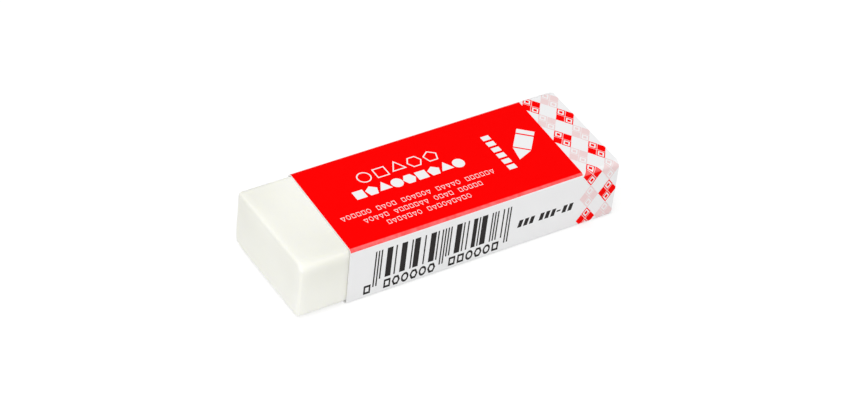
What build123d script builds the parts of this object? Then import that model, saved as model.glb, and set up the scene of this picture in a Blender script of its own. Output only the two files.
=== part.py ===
from build123d import *
import os

# An eraser: a soft vinyl block with a folded card sleeve that slides along it.
# Millimetres. +X runs along the block, from its bare end to the end that the
# sleeve covers, +Y points to the back and +Z is up. The origin is on the table,
# under the middle of the whole eraser.

# Driving dimensions of the block
block_length = 63.4
block_width = 21.4
block_height = 11.3
long_edge_radius = 0.95     # the four edges that run along the block
end_edge_radius = 0.6       # the edges round its two cut ends

# Driving dimensions of the sleeve
sleeve_length = 53.8
card_thickness = 0.25
slip_gap = 0.04             # room between the block and the card, on every side
fold_share = 0.55           # inside of a fold, as a share of the rounding it wraps
seam_reveal = 0.5           # flat part of the flap left bare beside the lap
flap_stop_short = 0.3       # how far the glue flap ends before the front fold

# The block fills the sleeve with the same slip gap all round. The sleeve's floor is
# two layers of card, so the block sits two layers above the table.
cavity_width = block_width + 2 * slip_gap
cavity_height = block_height + 2 * slip_gap
sleeve_width = cavity_width + 2 * card_thickness
sleeve_height = cavity_height + 3 * card_thickness

block_start = -block_length / 2
block_underside = 2 * card_thickness + slip_gap

# The sleeve's covered end is flush with the end of the block.
sleeve_start = block_length / 2 - sleeve_length

# Folds: the card is creased a little tighter than the rounded edge inside it.
fold_inside = fold_share * (long_edge_radius + slip_gap)
fold_middle = fold_inside + card_thickness / 2
fold_outside = fold_inside + card_thickness

# Middle surface of the card, seen along the block from the bare end.
front_middle_y = -sleeve_width / 2 + card_thickness / 2
back_middle_y = sleeve_width / 2 - card_thickness / 2
top_middle_z = sleeve_height - card_thickness / 2
under_middle_z = card_thickness / 2
flap_middle_z = under_middle_z + card_thickness
lap_edge_y = sleeve_width / 2 - fold_outside - seam_reveal
flap_end_y = -sleeve_width / 2 + fold_outside + flap_stop_short


# The block: one solid of soft vinyl, the same section from end to end. Its long edges
# are rounded first, and then the edges round both ends, a little less.
with BuildPart() as eraser_block:
    with BuildSketch(Plane.YZ.offset(block_start)):
        with Locations((0, block_underside)):
            Rectangle(block_width, block_height, align=(Align.CENTER, Align.MIN))
    extrude(amount=block_length)
    fillet(eraser_block.edges().filter_by(Axis.X), radius=long_edge_radius)
    ends = eraser_block.faces().sort_by(Axis.X)
    fillet(ends[0].edges() + ends[-1].edges(), radius=end_edge_radius)

# The sleeve: one card blank with four folds. It starts at the free edge under the
# back of the block, goes under the block, up the front, over the top and down the
# back, and ends in the glue flap, which turns in under the block and is glued to
# the inside of the first panel. The strip keeps one thickness all the way, two
# where the lap is glued, and a groove one card deep stays open beside the free edge.
with BuildPart() as card_sleeve:
    with BuildSketch(Plane.YZ.offset(sleeve_start)):
        with BuildLine():
            FilletPolyline(
                (lap_edge_y, under_middle_z),
                (front_middle_y, under_middle_z),
                (front_middle_y, top_middle_z),
                (back_middle_y, top_middle_z),
                (back_middle_y, flap_middle_z),
                (lap_edge_y, flap_middle_z),
                radius=fold_middle,
            )
        trace(line_width=card_thickness)
        with BuildLine():
            Line((lap_edge_y, flap_middle_z), (flap_end_y, flap_middle_z))
        trace(line_width=card_thickness)
    extrude(amount=sleeve_length)

eraser_block.part.label = "eraser_block"
card_sleeve.part.label = "card_sleeve"

os.makedirs("parts", exist_ok=True)
export_step(eraser_block.part, "parts/eraser_block.step")
export_step(card_sleeve.part, "parts/card_sleeve.step")

print("whole eraser", block_length, "x", round(sleeve_width, 3), "x", round(sleeve_height, 3))
print("bare end", round(block_length - sleeve_length, 3))
print("folds, inside and outside", round(fold_inside, 3), round(fold_outside, 3))
print("free edge and flap end, across the sleeve", round(lap_edge_y, 3), round(flap_end_y, 3))
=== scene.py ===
import math
import random

import bpy
from mathutils import Matrix, Vector, noise
from mathutils.geometry import delaunay_2d_cdt


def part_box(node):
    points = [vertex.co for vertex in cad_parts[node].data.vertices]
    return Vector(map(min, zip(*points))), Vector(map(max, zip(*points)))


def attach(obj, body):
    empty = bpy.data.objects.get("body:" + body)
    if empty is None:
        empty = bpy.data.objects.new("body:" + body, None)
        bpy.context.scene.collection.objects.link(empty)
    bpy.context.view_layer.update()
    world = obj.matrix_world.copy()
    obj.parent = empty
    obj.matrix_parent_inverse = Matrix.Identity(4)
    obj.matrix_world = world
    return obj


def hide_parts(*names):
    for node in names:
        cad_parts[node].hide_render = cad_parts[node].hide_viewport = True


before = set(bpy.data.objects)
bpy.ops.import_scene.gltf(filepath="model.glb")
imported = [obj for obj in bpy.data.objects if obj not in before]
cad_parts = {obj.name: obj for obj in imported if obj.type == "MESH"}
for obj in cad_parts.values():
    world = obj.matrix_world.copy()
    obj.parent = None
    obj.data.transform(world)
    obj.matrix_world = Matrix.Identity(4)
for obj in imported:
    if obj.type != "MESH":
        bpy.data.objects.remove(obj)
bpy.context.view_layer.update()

# The eraser block. It is a bar of soft white vinyl, cut to length, with every edge and
# corner rounded, though not quite evenly. One corner and the upper front edge have rubbed
# rounder, and the edge of the card has pressed a shallow line across the front.
mm = 0.001
block_low, block_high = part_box("eraser_block")
lower_rounding = 0.62 * mm     # of the two lower long edges
upper_rounding = 0.95 * mm     # of the two upper long edges
end_rounding = 0.64 * mm       # of the edges round the two cut ends
rounding_drift = 0.1           # share by which the rounding varies from place to place
drift_scale = 90.0             # waves of this unevenness in one metre
worn_corner = Vector((block_low.x, block_high.y, block_low.z))
corner_wear = 0.5 * mm         # added to the rounding at that corner
front_wear = 0.6 * mm          # added to the upper front edge at the bare end
front_wear_reach = 16 * mm
end_skew = 0.006               # of the bare end, for each unit from its back to its front
bare_end_reach = 5 * mm        # of that skew and of the corner's wear
face_sink = 0.015 * mm         # by how much the surface is uneven
sink_shift = Vector((3, 7, 1))  # keeps this unevenness apart from that of the rounding
groove_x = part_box("card_sleeve")[0].x  # where the card's edge has pressed into the front
groove_depth = 0.09 * mm
groove_reach = 0.55 * mm
turn_steps = 7                 # grid lines across half of a rounded edge
flat_step = 0.9 * mm           # between the grid lines on a flat side
groove_steps = 4               # closer grid lines on either side of the pressed line


def lines_across(low, high, rounding):
    """Grid lines along one side of the block, closer together where its edges turn."""
    turn = [rounding * math.tan(math.pi / 4 * k / turn_steps) for k in range(turn_steps + 1)]
    first, last = low + rounding, high - rounding
    count = round((last - first) / flat_step)
    flats = [first + (last - first) * k / count for k in range(1, count)]
    return [first - t for t in reversed(turn)] + flats + [last + t for t in turn]


def grid_box(across):
    """Points and faces of a closed box whose six sides carry these grid lines."""
    points, faces, found = [], [], {}

    def corner(steps):
        if steps not in found:
            found[steps] = len(points)
            points.append(Vector(across[axis][step] for axis, step in enumerate(steps)))
        return found[steps]

    for axis in range(3):
        one, two = (axis + 1) % 3, (axis + 2) % 3
        for side in (0, len(across[axis]) - 1):
            for i in range(len(across[one]) - 1):
                for j in range(len(across[two]) - 1):
                    face = []
                    for di, dj in ((0, 0), (1, 0), (1, 1), (0, 1)):
                        steps = [side] * 3
                        steps[one], steps[two] = i + di, j + dj
                        face.append(corner(tuple(steps)))
                    faces.append(face if side else face[::-1])
    return points, faces


def roundings_near(point):
    """How round the long edges and the edges of the cut ends are near a point of the bar."""
    drift = 1 + rounding_drift * (0.5 + noise.noise(point * drift_scale))
    worn = corner_wear * max(0.0, 1 - (point - worn_corner).length / bare_end_reach) ** 2
    height = (point.z - block_low.z) / (block_high.z - block_low.z)
    frontness = (block_high.y - point.y) / (block_high.y - block_low.y)
    fading = max(0.0, 1 - (point.x - block_low.x) / front_wear_reach)
    upper = upper_rounding + front_wear * frontness * fading
    long_edge = (lower_rounding + (upper - lower_rounding) * height) * drift + worn
    return long_edge, end_rounding * drift + worn


def softened(point):
    """Where a point of the square bar lies on the rounded one, and the normal there."""
    long_edge, end_edge = roundings_near(point)
    core = Vector(
        min(max(value, low + inset), high - inset)
        for value, low, high, inset in zip(
            point, block_low, block_high, (end_edge, long_edge, long_edge)
        )
    )
    beyond = point - core
    sideways = Vector((0, beyond.y, beyond.z)).normalized()
    depth = max(abs(beyond.y), abs(beyond.z))
    inner = long_edge - end_edge
    turn = Vector((beyond.x, max(0.0, depth - inner))).normalized()
    normal = Vector((turn.x, 0, 0)) + sideways * turn.y
    sink = face_sink * (0.5 + 0.5 * noise.noise(point * drift_scale + sink_shift))
    pressed = math.exp(-((point.x - groove_x) / groove_reach) ** 2)
    sink += groove_depth * pressed * max(0.0, -normal.y)
    place = core + sideways * min(depth, inner) + normal * (end_edge - sink)
    nearness = max(0.0, 1 - (place.x - block_low.x) / bare_end_reach)
    place.x += end_skew * (block_high.y - place.y) * nearness
    return place, normal


def new_piece(name, points, faces):
    mesh = bpy.data.meshes.new(name)
    mesh.from_pydata(points, [], faces)
    mesh.shade_smooth()
    piece = bpy.data.objects.new(name, mesh)
    bpy.context.scene.collection.objects.link(piece)
    return piece


def point_values(piece, name, values):
    """Gives each vertex a number under this name, which a material reads."""
    piece.data.attributes.new(name, "FLOAT", "POINT").data.foreach_set("value", values)


widest = upper_rounding + front_wear
bar_lines = [
    lines_across(*side) for side in zip(block_low, block_high, (end_rounding, widest, widest))
]
groove_lines = range(-groove_steps, groove_steps + 1)
bar_lines[0] = sorted(bar_lines[0] + [groove_x + k * groove_reach / 2 for k in groove_lines])
bar_points, bar_faces = grid_box(bar_lines)
soft_points = [softened(point) for point in bar_points]
block = new_piece("vinyl_block", [place for place, normal in soft_points], bar_faces)

# How far round an edge each point lies: 0 on a flat side and 1 halfway round, where a
# normal's largest part has lost this much.
halfway_loss = 1 - math.sqrt(0.5)
edge_shares = [
    min(1.0, (1 - max(map(abs, normal))) / halfway_loss) for place, normal in soft_points
]
point_values(block, "edge", edge_shares)

# Painted shade and painted light on the vinyl: darker and lighter patches stand in for the
# uneven shading of the light, and three lighter lines are painted highlights along edges. A
# spot has a middle and a line has two ends. Both have a reach, all in millimetres, and the
# share of light that is lost there, below none where it is painted lighter.
painted_light_and_shade_spots = (
    ((-31.5, 10, 11.8), 6, 0.06),
    ((-23, -10, 11.8), 7, 0.085),
    ((-31.7, -10, 1), 10, -0.035),
    ((-24, 7, 11.8), 5, -0.025),
    ((-31, 6, 15), 5, 0.05),
    ((-31, -4, 15), 5.5, 0.05),
    ((-29, -13, 8), 4, 0.035),
    ((-35, 5, 12), 4, -0.03),
)
painted_highlight_lines = (
    ((-30.5, -10.7, 11), (-22.5, -10.7, 11), 0.95, -0.06),
    ((-31.5, -10.3, 2), (-31.5, -10.3, 10.5), 1.2, -0.03),
    ((-31.7, 9, 10.3), (-31.7, -9, 10.3), 1.8, -0.03),
)
painted_edge_shade = 0.03           # painted shade: the share of light lost on every rounded edge
painted_edge_shade_from = 0.125         # how far round the edge it is lost in full


def nearest_on_line(spot, start, end):
    along = Vector(end) - Vector(start)
    share = (spot - Vector(start)).dot(along) / along.length_squared
    return Vector(start) + along * min(1.0, max(0.0, share))


def painted_shading(place, edge_share):
    """The share of light left at a point by the painted shade and painted highlights."""
    spot = place / mm
    kept = 1 - painted_edge_shade * min(1.0, edge_share / painted_edge_shade_from)
    for centre, reach, loss in painted_light_and_shade_spots:
        kept -= loss * math.exp(-((spot - Vector(centre)).length / reach) ** 2)
    for start, end, reach, loss in painted_highlight_lines:
        gap = (spot - nearest_on_line(spot, start, end)).length
        kept -= loss * math.exp(-((gap / reach) ** 2))
    return kept


point_values(
    block,
    "kept",
    [painted_shading(place, share) for (place, normal), share in zip(soft_points, edge_shares)],
)


class Wiring:
    """Adds nodes to a material or a node group and wires them."""

    def __init__(self, tree):
        self.tree = tree

    def add(self, kind, **settings):
        node = self.tree.nodes.new("ShaderNode" + kind)
        for name, value in settings.items():
            setattr(node, name, value)
        return node

    def feed(self, socket, value):
        if isinstance(value, bpy.types.NodeSocket):
            self.tree.links.new(value, socket)
        else:
            socket.default_value = value

    def math(self, operation, *values):
        node = self.add("Math", operation=operation)
        for socket, value in zip(node.inputs, values):
            self.feed(socket, value)
        return node.outputs[0]

    def ranged(self, value, low, high, to_low=0.0, to_high=1.0):
        """Takes low to high smoothly over to to_low to to_high, and holds both ends."""
        node = self.add("MapRange", interpolation_type="SMOOTHSTEP")
        for socket, number in zip(node.inputs, (value, low, high, to_low, to_high)):
            self.feed(socket, number)
        return node.outputs[0]

    def mixed(self, factor, first, second):
        """A mix of two colours, whose sockets on this node are the seventh and eighth."""
        node = self.add("Mix", data_type="RGBA")
        for socket, value in zip((node.inputs[0], *node.inputs[6:8]), (factor, first, second)):
            self.feed(socket, value)
        return node.outputs[2]

    def scaled_colour(self, colour, factor):
        node = self.add("VectorMath", operation="SCALE")
        self.feed(node.inputs[0], colour)
        self.feed(node.inputs["Scale"], factor)
        return node.outputs[0]

    def noise(self, scale, detail=2.0, stretch=(1, 1, 1)):
        """Noise in the piece's own space, with scale waves to a metre."""
        place = self.add("Mapping")
        self.feed(place.inputs["Vector"], self.add("TexCoord").outputs["Object"])
        place.inputs["Scale"].default_value = stretch
        node = self.add("TexNoise")
        for name, value in (("Vector", place.outputs[0]), ("Scale", scale), ("Detail", detail)):
            self.feed(node.inputs[name], value)
        return node.outputs["Fac"]

    def reading(self, name):
        """The number that point_values gave under this name."""
        return self.add("Attribute", attribute_name=name).outputs["Fac"]

    def bump(self, height, distance, after=None):
        node = self.add("Bump")
        self.feed(node.inputs["Height"], height)
        node.inputs["Distance"].default_value = distance
        if after:
            self.feed(node.inputs["Normal"], after)
        return node.outputs[0]

    def placed(self, tree, **values):
        """A node group with these values on the inputs of the same names."""
        node = self.add("Group", node_tree=tree)
        for name, value in values.items():
            self.feed(node.inputs[name], value)
        return node.outputs


def new_group(name, takes, gives):
    """A node group with these sockets: its wiring, what it takes and what it gives."""
    tree = bpy.data.node_groups.new(name, "ShaderNodeTree")
    for in_out, sockets in (("INPUT", takes), ("OUTPUT", gives)):
        for label, kind in sockets.items():
            tree.interface.new_socket(label, in_out=in_out, socket_type="NodeSocket" + kind)
    inside = tree.nodes.new("NodeGroupInput").outputs
    outside = tree.nodes.new("NodeGroupOutput").inputs
    return Wiring(tree), inside, outside


def new_material(name, **constants):
    """A material with one Principled shader that has these constants, and its wiring."""
    material = bpy.data.materials.new(name)
    material.use_nodes = True
    shader = material.node_tree.nodes["Principled BSDF"]
    for label, value in constants.items():
        shader.inputs[label.replace("_", " ")].default_value = value
    return material, Wiring(material.node_tree), shader.inputs


# Uneven tone: a slow drift in how light a surface is, and in how rough. Where it is
# lighter it is also a little smoother.
smoothing = -0.3
tone, taken, given = new_group(
    "uneven tone",
    {"Colour": "Color", "Waves": "Float", "Depth": "Float", "Roughness": "Float"},
    {"Colour": "Color", "Roughness": "Float"},
)
slow = tone.math("SUBTRACT", tone.noise(taken["Waves"], detail=3), 0.5)
lift = tone.math("MULTIPLY_ADD", slow, taken["Depth"], 1.0)
tone.feed(given["Colour"], tone.scaled_colour(taken["Colour"], lift))
tone.feed(given["Roughness"], tone.math("MULTIPLY_ADD", slow, smoothing, taken["Roughness"]))

# The vinyl lets a little light in. It has low slow waves, as a soft bar has, under a fine
# grain, and along the middle of each rounded edge a painted highlight lifts the painted shade.
vinyl_colour = (0.925, 0.925, 0.85, 1)
edge_highlight_colour = (0.925, 0.92, 0.845, 1)
vinyl, w, shader = new_material(
    "soft white vinyl",
    Specular_IOR_Level=0.25,
    Subsurface_Weight=0.35,
    Subsurface_Radius=(1.0, 1.0, 0.8),
    Subsurface_Scale=1.1 * mm,
)
toned = w.placed(tone.tree, Colour=vinyl_colour, Waves=160.0, Depth=0.03, Roughness=0.42)
# The painted shade and painted light from the spots, lines and edges above scale the colour.
vinyl_with_painted_shading = w.scaled_colour(toned["Colour"], w.reading("kept"))
# A painted highlight along the middle of every rounded edge, back towards the undimmed colour.
lightened = w.ranged(w.reading("edge"), low=0.3, high=0.95, to_high=0.65)
waves = w.bump(w.noise(scale=240.0), 0.10 * mm)
fine_grain = w.bump(w.noise(scale=2600.0, detail=3), 0.006 * mm, after=waves)
w.feed(shader["Base Color"], w.mixed(lightened, vinyl_with_painted_shading, edge_highlight_colour))
w.feed(shader["Roughness"], toned["Roughness"])
w.feed(shader["Normal"], fine_grain)
block.data.materials.append(vinyl)
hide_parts("eraser_block")
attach(block, "block")

# The sleeve. It is one blank of thin white card, printed while flat, creased four
# times round the block and glued to itself along a lap under the block. It is laid
# out here as the flat blank, in millimetres, and then folded up.
sleeve_low, sleeve_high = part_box("card_sleeve")
start_x, end_x = sleeve_low.x / mm, sleeve_high.x / mm
sleeve_width = (sleeve_high.y - sleeve_low.y) / mm
sleeve_height = (sleeve_high.z - sleeve_low.z) / mm
card = 0.245                   # a hair thinner than the solid, so the lap's layers stay apart
layer = 0.25                   # the step between the two layers of the lap
fold_radius = 0.794            # outside of a crease
seam_reveal = 0.5              # from the free edge to the crease beside it
flap_stop_short = 0.05         # from the glue flap's edge to the crease in front of it

flat_across = sleeve_width - 2 * fold_radius
flat_up = sleeve_height - 2 * fold_radius
crease = fold_radius * math.pi / 2

# The strip round the block, as panels and creases in turn, from the free edge under
# the back of the block, up the front, over the top, down the back and in again.
strip = [
    ("under", flat_across - seam_reveal),
    ("lower front crease", crease),
    ("front", flat_up),
    ("upper front crease", crease),
    ("top", flat_across),
    ("upper back crease", crease),
    ("back", flat_up - layer),
    ("lower back crease", crease),
    ("flap", flat_across - flap_stop_short),
]


def laid_out():
    """Each stretch of the strip: its start and length along the blank, place, heading and
    outward direction, with y and z as the two numbers of the last three."""
    along, stretches = 0.0, {}
    place = Vector((flat_across / 2 - seam_reveal, 0))
    heading = Vector((-1, 0))
    for name, length in strip:
        outward = Vector((-heading.y, heading.x))
        stretches[name] = (along, length, place, heading, outward)
        along += length
        if name.endswith("crease"):
            place = place + (heading - outward) * fold_radius
            heading = -outward
        else:
            place = place + heading * length
    return stretches, along


stretches, blank_width = laid_out()

# Both ends are cut a little out of square. The upper creases are pressed rounder at the
# far end, and the one along the back is also softer towards the bare end.
cut_skew = (0.027, 0.018)      # along x, for each unit towards the back and downwards
cut_skew_reach = 4.0
far_skew = 0.0065              # along x, for each unit towards the front, along the top
far_softening = {"upper front crease": 0.5, "upper back crease": 0.3}
far_reach = 2.4
back_softening = 0.44          # added to the upper back crease at the bare end
back_reach = 48.0
hair = 1e-6                    # a distance that counts as none


def softened_crease(name, x, spot, outward):
    """A point near a crease, moved on to the rounder curve that the crease has there."""
    along, length, place, heading, before = stretches[name]
    corner = place + heading * fold_radius
    radius = fold_radius
    radius += far_softening.get(name, 0.0) * max(0.0, 1 - (end_x - x) / far_reach) ** 2
    if name == "upper back crease":
        radius += back_softening * max(0.0, 1 - (x - start_x) / back_reach)
    inwards = corner - spot
    depths = inwards.dot(before), inwards.dot(heading)
    if min(depths) < -hair or max(depths) > radius:
        return spot, outward
    out = before * (radius - depths[0]) + heading * (radius - depths[1])
    if out.length <= radius:
        return spot, outward
    centre = corner - (before + heading) * radius
    return centre + out.normalized() * radius, out.normalized()


def folded(x, along):
    """Place and outward normal, in metres, of a point of the blank's printed side."""
    for name, (start, length, place, heading, outward) in stretches.items():
        if along <= start + length + hair:
            break
    if name.endswith("crease"):
        angle = (along - start) / fold_radius
        centre = place - outward * fold_radius
        outward = outward * math.cos(angle) + heading * math.sin(angle)
        spot = centre + outward * fold_radius
    else:
        spot = place + heading * (along - start)
    for other in stretches:
        if other.endswith("crease"):
            spot, outward = softened_crease(other, x, spot, outward)
    near_cut = max(0.0, 1 - (x - start_x) / cut_skew_reach)
    far_cut = max(0.0, 1 - (end_x - x) / cut_skew_reach)
    x += (cut_skew[0] * spot.x + cut_skew[1] * (sleeve_height - spot.y)) * near_cut
    x -= far_skew * (sleeve_width / 2 - spot.x) * spot.y / sleeve_height * far_cut
    return Vector((x, *spot)) * mm, Vector((0, *outward))


# The print, in the order in which it is laid down. Each entry is an ink and an
# outline on the flat blank; a later one covers an earlier one. On every panel x runs
# along the eraser and up runs along the blank, from the middle of the panel.
printed = []


def print_shape(ink, outline):
    """Adds an outline of the blank, turned to run anticlockwise."""
    after = outline[1:] + outline[:1]
    area = sum(a[0] * b[1] - b[0] * a[1] for a, b in zip(outline, after))
    printed.append((ink, outline if area > 0 else outline[::-1]))


def print_outline(ink, panel, outline):
    along, length, *rest = stretches[panel]
    print_shape(ink, [(x, along + length / 2 + up) for x, up in outline])


def print_bar(ink, panel, x, up, width, height, lean=0.0):
    """An upright or leaning bar, from its lower left corner."""
    print_outline(
        ink,
        panel,
        [(x, up), (x + width, up), (x + width + lean, up + height), (x + lean, up + height)],
    )


def print_figure(ink, panel, x, up, radius, sides, turn, slim=1.0):
    """An even-sided figure, or a disc, turned by this many degrees and made this slim."""
    angles = [math.radians(turn) + 2 * math.pi * k / sides for k in range(sides)]
    wide = radius * slim
    print_outline(
        ink, panel, [(x + wide * math.cos(a), up + radius * math.sin(a)) for a in angles]
    )


def print_hollow(ink, inside, panel, place, radius, stroke, kind, slim=1.0):
    """A figure in outline, with its inside in another ink."""
    sides, turn, size = kind
    inner = radius * size - stroke / math.cos(math.pi / sides)
    print_figure(ink, panel, *place, radius * size, sides, turn, slim)
    print_figure(inside, panel, *place, inner, sides, turn, slim)


# The white band by the far end: a plain grid of small patches, red and pale pink in
# turn. Each patch has two solid lozenges and two hollow ones with a dot.
band_columns = (26.0, 29.9)
band_step = 5.0                # from one patch to the next along the blank
band_shift = 0.35              # of the first patch from the free edge, in such steps
lozenge_reach = (1.02, 1.3)    # from the middle to its corners, along x and along the blank
solid_share = 0.93             # of that reach, in a solid lozenge
hollow_shares = (0.97, 0.7, 0.38)  # the same for a hollow one, its inside and its dot


def print_lozenge(ink, x, along, share):
    wide, high = (share * reach for reach in lozenge_reach)
    print_shape(ink, [(x, along + high), (x - wide, along), (x, along - high), (x + wide, along)])


def print_band():
    wide, high = lozenge_reach
    for column, x in enumerate(band_columns):
        for row in range(math.ceil(blank_width / band_step)):
            along = band_step * (row + band_shift)
            ink = ("red", "pale")[(row + column) % 2]
            for side in (-1, 1):
                print_lozenge(ink, x + side * wide, along, solid_share)
                for share, colour in zip(hollow_shares, (ink, "bare", ink)):
                    print_lozenge(colour, x, along + side * high, share)


# The red field of each broad face. On top it runs a good way round the creases beside
# it, sits slightly askew on the blank, and leaves the white band by the far end.
field_end = 24.3
field_skew = 0.033             # along x, for each unit along the blank
bleed = 1.0                    # how far it is laid down past the blank's edge at the bare end
back_overhang = 0.8            # how far it runs round the upper back crease
front_overhangs = (0.99, 0.77)  # and round the front one, at the bare end and the far end
under_margin = 0.3             # how far the lower field stops short of its panel's sides


def print_field(panel, above, below_start, below_end):
    """A field that ends this far above the panel's middle, and this far below it at
    either end of the eraser."""
    print_outline(
        "red",
        panel,
        [
            (start_x - bleed, above),
            (start_x - bleed, -below_start),
            (field_end - field_skew * below_end, -below_end),
            (field_end + field_skew * above, above),
        ],
    )


# Figures in white: a row of five in outline and a row of nine solid ones, over three
# rows of very small ones in outline, as on a drawing template. A kind is how many sides
# a figure has, by how many degrees it is turned, and its size beside that of a disc.
figure_kinds = ((28, 0, 1.0), (4, 45, 1.27), (3, 90, 1.24), (6, 0, 1.1), (5, 90, 1.09))
outlined_x = (-10.9, 3.32)     # the first figure's middle and the step to the next
outlined_up = 4.3
outlined_radius = 1.34
outlined_stroke = 0.22
solid_x = (-13.85, 2.46)
solid_up = 0.72
solid_radius = 1.13
solid_count = 9
tiny_rows = ((-19.5, 10.0, -3.5), (-16.2, 6.4, -5.4), (-12.8, 2.8, -7.3))  # from, to and up
tiny_kinds = ((10, 0, 1.0), (4, 45, 1.27), (3, 30, 1.24), (4, 45, 1.27))
tiny_radius = 0.56
tiny_stroke = 0.115
tiny_slim = 0.68
tiny_step = 0.98
tiny_first_gap = (5, 9)        # least and most figures before the first gap in a row
tiny_later_gaps = (5, 10)      # and from each gap to the next


def print_figures(panel):
    for k, kind in enumerate(figure_kinds):
        place = (outlined_x[0] + k * outlined_x[1], outlined_up)
        print_hollow("bare", "red", panel, place, outlined_radius, outlined_stroke, kind)
    for k in range(solid_count):
        sides, turn, size = figure_kinds[(3 * k + 1) % len(figure_kinds)]
        x = solid_x[0] + k * solid_x[1]
        print_figure("bare", panel, x, solid_up, solid_radius * size, sides, turn)
    chance = random.Random(4)
    for first, last, up in tiny_rows:
        gap = chance.randint(*tiny_first_gap)
        for k in range(round((last - first) / tiny_step) + 1):
            kind = chance.choice(tiny_kinds)
            if k == gap:
                gap += chance.randint(*tiny_later_gaps)
            else:
                place = (first + k * tiny_step, up)
                print_hollow("bare", "red", panel, place, tiny_radius, tiny_stroke, kind, tiny_slim)


# A pencil in white, point down, with two red rings round it, beside a column of six
# short bars.
pencil_at = (18.7, 0.2)
pencil_length = 8.2
pencil_width = 3.2
pencil_tip = 2.9
pencil_lean = math.radians(40)
upper_ring = (1.45, 1.1)       # how far below the blunt end it starts and stops
lower_ring = 0.3               # its width, above the tip
column_from = (12.95, -4.55)   # lower left corner of the lowest bar
column_step = 1.68
column_bar = (1.6, 1.15)
column_count = 6


def print_pencil(panel):
    half, end = pencil_width / 2, pencil_length / 2
    cone = pencil_tip - end

    def leaning(outline):
        return [
            (
                pencil_at[0] + x * math.cos(pencil_lean) + y * math.sin(pencil_lean),
                pencil_at[1] - x * math.sin(pencil_lean) + y * math.cos(pencil_lean),
            )
            for x, y in outline
        ]

    print_outline(
        "bare", panel, leaning([(-half, end), (-half, cone), (0, -end), (half, cone), (half, end)])
    )
    for low, high in ((end - upper_ring[0], end - upper_ring[1]), (cone, cone + lower_ring)):
        ring = [(-half, low), (half, low), (half, high), (-half, high)]
        print_outline("red", panel, leaning(ring))


def print_column(panel):
    x, first = column_from
    for k in range(column_count):
        print_bar("bare", panel, x, column_step * k + first, *column_bar)


# Dark marks on the front: upright bars of mixed widths with longer ones at both ends
# and in the middle, a row of small figures below them, and a row of leaning marks.
bars_start = -17.4
bar_module = 0.284
bar_spread = 0.98              # share of its modules that a bar fills
bars_low, bars_top = 3.6, 10.1
guard_low = 2.2
guard_modules = (0, 2, 46, 48, 92, 94)
middle_module = 47
bar_runs = ((4, 44), (50, 90))  # the modules between the longer bars
bar_widths = (1, 1, 1, 1, 1, 3, 4)
bar_gaps = (1, 1, 2, 2, 3)
small_figure_kinds = ((28, 0, 1.0), (4, 45, 1.27), (6, 0, 1.1))
small_figure_up = 2.05
small_figure_radius = 1.08
small_figure_stroke = 0.48
small_figure_slim = 0.68
small_figure_step = 1.75
small_figure_starts = (-1.0, 2.9, 2.4)  # before the bars, and into each half of them
small_figure_count = 6         # below each half
leaning_marks = (11.3, 12.5, 13.7, 15.7, 16.9, 18.1, 20.5, 21.7)
leaning_up = 4.6
leaning_shape = (0.82, 1.6, 0.32)  # width, height and lean
dash_at = (19.35, 5.25)
dash_shape = (0.8, 0.35, 0.07)


def print_bars():
    base = sleeve_height / 2
    chance = random.Random(11)

    def bar(module, width, low):
        x = bars_start + module * bar_module
        wide = bar_spread * width * bar_module
        print_bar("dark", "front", x, low - base, wide, bars_top - low)

    for module in guard_modules:
        bar(module, 1, guard_low)
    for module, last in bar_runs:
        while module < last:
            width = min(chance.choice(bar_widths), last - module)
            bar(module, width, bars_low)
            module += width + chance.choice(bar_gaps)
    before, into_first, into_second = small_figure_starts
    middle = bars_start + middle_module * bar_module
    steps = [small_figure_step * k for k in range(small_figure_count)]
    places = [bars_start + before]
    places += [bars_start + into_first + step for step in steps]
    places += [middle + into_second + step for step in steps]
    for x in places:
        kind = chance.choice(small_figure_kinds)
        place = (x, small_figure_up - base)
        radius, stroke = small_figure_radius, small_figure_stroke
        print_hollow("dark", "bare", "front", place, radius, stroke, kind, small_figure_slim)
    for x in leaning_marks:
        print_bar("dark", "front", x, leaning_up - base, *leaning_shape)
    print_bar("dark", "front", dash_at[0], dash_at[1] - base, *dash_shape)


half_top = flat_across / 2
half_under = (flat_across - seam_reveal) / 2 - under_margin
print_band()
print_field("top", half_top + back_overhang, *(half_top + reach for reach in front_overhangs))
print_field("under", half_under, half_under, half_under)
for broad_face in ("top", "under"):
    print_figures(broad_face)
    print_pencil(broad_face)
    print_column(broad_face)
print_bars()

# The blank is cut into triangles along every printed outline and every crease, with a
# grid over it that is closer at the far end and beside the creases that soften there.
crease_steps = 8
grid_step = 2.7
far_columns = (0.15, 0.35, 0.6)  # as shares of far_reach, from the far end
beside_crease = (0.5, 0.3, 0.14)
merge_reach = 1e-5             # points nearer to each other than this become one


def cut_to_blank(outline):
    """The part of an outline that lies on the blank."""
    for axis, sign, limit in ((0, 1, end_x), (0, -1, -start_x), (1, 1, blank_width), (1, -1, 0)):
        kept = []
        for one, two in zip(outline, outline[1:] + outline[:1]):
            beyond_one, beyond_two = (sign * spot[axis] - limit for spot in (one, two))
            if beyond_one <= 0:
                kept.append(one)
            if beyond_one * beyond_two < 0:
                share = beyond_one / (beyond_one - beyond_two)
                kept.append(tuple(a + (b - a) * share for a, b in zip(one, two)))
        outline = kept
    return outline


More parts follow.
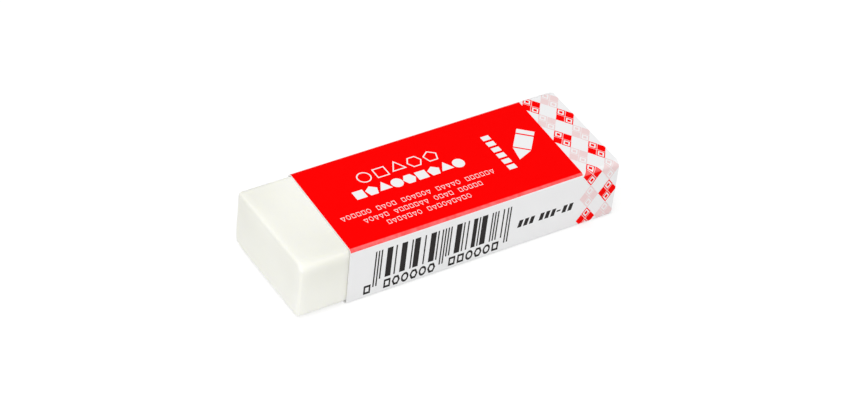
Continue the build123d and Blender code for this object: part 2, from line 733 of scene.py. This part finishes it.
def cut_blank():
    """The flat blank's points and triangles, and the ink on each triangle."""
    points, edges, outlines, inks = [], [], [], []

    def line(a, b):
        edges.append((len(points), len(points) + 1))
        points.extend((a, b))

    for name, (along, length, *rest) in stretches.items():
        steps = crease_steps if name.endswith("crease") else round(length / grid_step)
        levels = [along + length * k / steps for k in range(steps + 1)]
        if name in far_softening:
            levels += [along - step for step in beside_crease]
            levels += [along + length + step for step in reversed(beside_crease)]
        for level in levels:
            line((start_x, level), (end_x, level))
    columns = round((end_x - start_x) / grid_step)
    places = [start_x + (end_x - start_x) * k / columns for k in range(columns + 1)]
    places += [end_x - far_reach * share for share in far_columns]
    for x in places:
        line((x, 0), (x, blank_width))
    for ink, outline in printed:
        kept = cut_to_blank(outline)
        if kept:
            outlines.append(range(len(points), len(points) + len(kept)))
            points.extend(kept)
            inks.append(ink)
    made = delaunay_2d_cdt([Vector(p) for p in points], edges, outlines, 0, merge_reach)
    spots, faces, within = made[0], made[2], made[5]
    return spots, faces, [inks[max(found)] if found else "bare" for found in within]


spots, triangles, triangle_inks = cut_blank()
folded_spots = [folded(*spot) for spot in spots]
count = len(spots)
outer = [place for place, normal in folded_spots]
inner = [place - normal * card * mm for place, normal in folded_spots]

# The printed side, then the inside, then the cut edges, which are the sides of
# triangles that no other triangle shares.
faces, face_inks, corner_normals, open_sides = [], [], [], set()
for face, ink in zip(triangles, triangle_inks):
    faces.append(list(face))
    face_inks.append(ink)
    corner_normals.extend(folded_spots[k][1] for k in face)
    for one, two in zip(face, face[1:] + face[:1]):
        if (two, one) in open_sides:
            open_sides.remove((two, one))
        else:
            open_sides.add((one, two))
for face in triangles:
    faces.append([count + k for k in reversed(face)])
    face_inks.append("inside")
    corner_normals.extend(-folded_spots[k][1] for k in reversed(face))
for one, two in sorted(open_sides):
    face = [two, one, count + one, count + two]
    places = [(outer + inner)[k] for k in face]
    flat_normal = (places[1] - places[0]).cross(places[3] - places[0]).normalized()
    faces.append(face)
    face_inks.append("cut edge")
    corner_normals.extend([flat_normal] * 4)

sleeve = new_piece("printed_sleeve", outer + inner, faces)
sleeve.data.normals_split_custom_set(corner_normals)
crease_shoulder = 0.25         # share of a crease over which it bends in from either side


def crease_share(along):
    """How far into a crease a point of the blank lies: 0 on a panel, 1 along its middle."""
    for name, (start, length, *rest) in stretches.items():
        if name.endswith("crease") and start <= along <= start + length:
            share = (along - start) / length
            return min(1.0, share / crease_shoulder, (1 - share) / crease_shoulder)
    return 0.0


point_values(sleeve, "crease", [crease_share(spot[1]) for spot in spots] * 2)

# Card grain: fine fibres that lie along the blank, under print and bare card alike.
grain, taken, given = new_group("card grain", {"Depth": "Float"}, {"Height": "Float"})
fibres = grain.noise(scale=1500.0, detail=4, stretch=(0.35, 1, 1))
grain.feed(given["Height"], grain.math("MULTIPLY", fibres, taken["Depth"]))

# Lightened crease: ink that has cracked along a fold lets some of the card show, and the band
# is lighter still as a painted highlight of the lamps on the fold.
crease_wear_and_highlight, taken, given = new_group(
    "cracked ink and painted highlight on creases", {"Ink": "Color", "Card": "Color", "Amount": "Float"}, {"Colour": "Color"}
)
specks = crease_wear_and_highlight.noise(scale=900.0, detail=3)
broken = crease_wear_and_highlight.ranged(specks, low=0.3, high=0.7, to_low=0.55)
bend = crease_wear_and_highlight.ranged(crease_wear_and_highlight.reading("crease"), low=0.45, high=0.95)
share = crease_wear_and_highlight.math("MULTIPLY", crease_wear_and_highlight.math("MULTIPLY", bend, broken), taken["Amount"])
crease_wear_and_highlight.feed(given["Colour"], crease_wear_and_highlight.mixed(share, taken["Ink"], taken["Card"]))

bare_card = (0.885, 0.885, 0.89, 1)
red_ink = (0.985, 0.0, 0.0, 1)
pale_ink = (0.86, 0.66, 0.66, 1)
dark_ink = (0.016, 0.013, 0.013, 1)
uncoated_card = (0.86, 0.855, 0.84, 1)
card_edge = (0.91, 0.91, 0.915, 1)


def printed_card(name, colour, wear_and_highlight, roughness, gloss=0.2, drift=0.03):
    """Card under one ink, or bare: the ink's colour, its sheen and the card's grain."""
    material, w, shader = new_material(name, Specular_IOR_Level=gloss)
    # The lighter band along each crease is partly cracked ink and partly a painted highlight.
    lightened = w.placed(crease_wear_and_highlight.tree, Ink=colour, Card=bare_card, Amount=wear_and_highlight)["Colour"]
    toned = w.placed(tone.tree, Colour=lightened, Waves=120.0, Depth=drift, Roughness=roughness)
    height = w.placed(grain.tree, Depth=1.0)["Height"]
    w.feed(shader["Base Color"], toned["Colour"])
    w.feed(shader["Roughness"], toned["Roughness"])
    w.feed(shader["Normal"], w.bump(height, 0.004 * mm))
    return material


inks = {
    "bare": printed_card("white printed card", bare_card, wear_and_highlight=0.0, roughness=0.45),
    # The red's crease band is the strongest: partly cracked ink, partly a painted highlight.
    "red": printed_card(
        "red ink on card", red_ink, wear_and_highlight=0.19, roughness=0.38, gloss=0.015, drift=0.01
    ),
    "pale": printed_card("pale pink ink on card", pale_ink, wear_and_highlight=0.1, roughness=0.45),
    "dark": printed_card("dark ink on card", dark_ink, wear_and_highlight=0.05, roughness=0.4, gloss=0.1),
    "inside": printed_card("uncoated inside of the card", uncoated_card, wear_and_highlight=0.0, roughness=0.8),
    "cut edge": printed_card("cut edge of the card", card_edge, wear_and_highlight=0.0, roughness=0.85),
}
slots = list(inks)
for material in inks.values():
    sleeve.data.materials.append(material)
sleeve.data.polygons.foreach_set("material_index", [slots.index(ink) for ink in face_inks])
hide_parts("card_sleeve")
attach(sleeve, "sleeve")

# The table: a plain pale surface. Seen straight on or in a reflection it is white,
# with the eraser's shadow kept, and it throws light back on the eraser as paper does.
table_half = 1.5
table_drop = 0.02 * mm         # below the eraser, so that the two surfaces stay apart
paper_colour = (0.85, 0.85, 0.85, 1)
shaded_colour = (0.45, 0.45, 0.45)
glow_strength = 0.62
table = new_piece(
    "table",
    [Vector((x, y, -table_drop)) for x, y in ((-1, -1), (1, -1), (1, 1), (-1, 1))],
    [(0, 1, 2, 3)],
)
table.scale = (table_half, table_half, 1)
surface = bpy.data.materials.new("pale table")
surface.use_nodes = True
w = Wiring(surface.node_tree)
w.tree.nodes.remove(w.tree.nodes["Principled BSDF"])
paper = w.add("BsdfDiffuse")
paper.inputs["Color"].default_value = paper_colour
seen = w.add("BsdfDiffuse")
mottle = w.ranged(w.noise(scale=6.0), low=0, high=1, to_low=0.98, to_high=1.02)
w.feed(seen.inputs["Color"], w.scaled_colour(shaded_colour, mottle))
glow = w.add("Emission")
glow.inputs["Strength"].default_value = glow_strength
both = w.add("AddShader")
w.feed(both.inputs[0], seen.outputs[0])
w.feed(both.inputs[1], glow.outputs[0])
rays = w.add("LightPath").outputs
direct = w.math("ADD", rays["Is Camera Ray"], rays["Is Glossy Ray"])
direct = w.math("MINIMUM", w.math("ADD", direct, rays["Is Transmission Ray"]), 1.0)
pick = w.add("MixShader")
w.feed(pick.inputs[0], direct)
w.feed(pick.inputs[1], paper.outputs[0])
w.feed(pick.inputs[2], both.outputs[0])
w.feed(w.tree.nodes["Material Output"].inputs["Surface"], pick.outputs[0])
table.data.materials.append(surface)

# The studio: an even pale room with two broad soft lamps, one high up on the left and
# one in front, which draws the light line along every rounded edge.
room_light = 0.5
world = bpy.data.worlds.new("studio")
bpy.context.scene.world = world
world.use_nodes = True
world.node_tree.nodes["Background"].inputs["Color"].default_value = (1, 1, 1, 1)
world.node_tree.nodes["Background"].inputs["Strength"].default_value = room_light


def soft_lamp(name, towards, distance, size=0.6, brightness=2.3):
    """A square lamp that faces the eraser, of the given brightness, where white is 1."""
    lamp = bpy.data.lights.new(name, "AREA")
    lamp.size = size
    lamp.energy = brightness * math.pi * size ** 2
    holder = bpy.data.objects.new(name, lamp)
    direction = Vector(towards).normalized()
    holder.location = direction * distance
    holder.rotation_euler = direction.to_track_quat("Z", "Y").to_euler()
    bpy.context.scene.collection.objects.link(holder)


soft_lamp("high_lamp", towards=(-0.3, 0.1, 0.95), distance=0.9)
soft_lamp("front_lamp", towards=(-0.4, -0.6, 0.69), distance=0.8)

# The camera, at the angle from which the eraser is seen: from the front and left, and
# well above it, with the picture a little turned.
photo_width = 854
photo_focal = 2672.8           # in the photo's own pixels
sensor_width = 36
camera_azimuth = math.radians(-36.51)
camera_elevation = math.radians(40.26)
camera_roll = math.radians(7.46)
camera_distance = 461.6 * mm
camera_aim = Vector((1.44, 2.20, 3.10)) * mm

back = Vector((
    math.sin(camera_azimuth) * math.cos(camera_elevation),
    -math.cos(camera_azimuth) * math.cos(camera_elevation),
    math.sin(camera_elevation),
))
level_right = Vector((0, 0, 1)).cross(back).normalized()
right = level_right * math.cos(camera_roll) + back.cross(level_right) * math.sin(camera_roll)
axes = Matrix((right, back.cross(right), back)).transposed()
lens = bpy.data.cameras.new("camera")
lens.sensor_width = sensor_width
lens.lens = photo_focal * sensor_width / photo_width
camera = bpy.data.objects.new("camera", lens)
camera.matrix_world = Matrix.Translation(camera_aim + back * camera_distance) @ axes.to_4x4()
bpy.context.scene.collection.objects.link(camera)
bpy.context.scene.camera = camera
bpy.context.scene.view_settings.view_transform = "Standard"
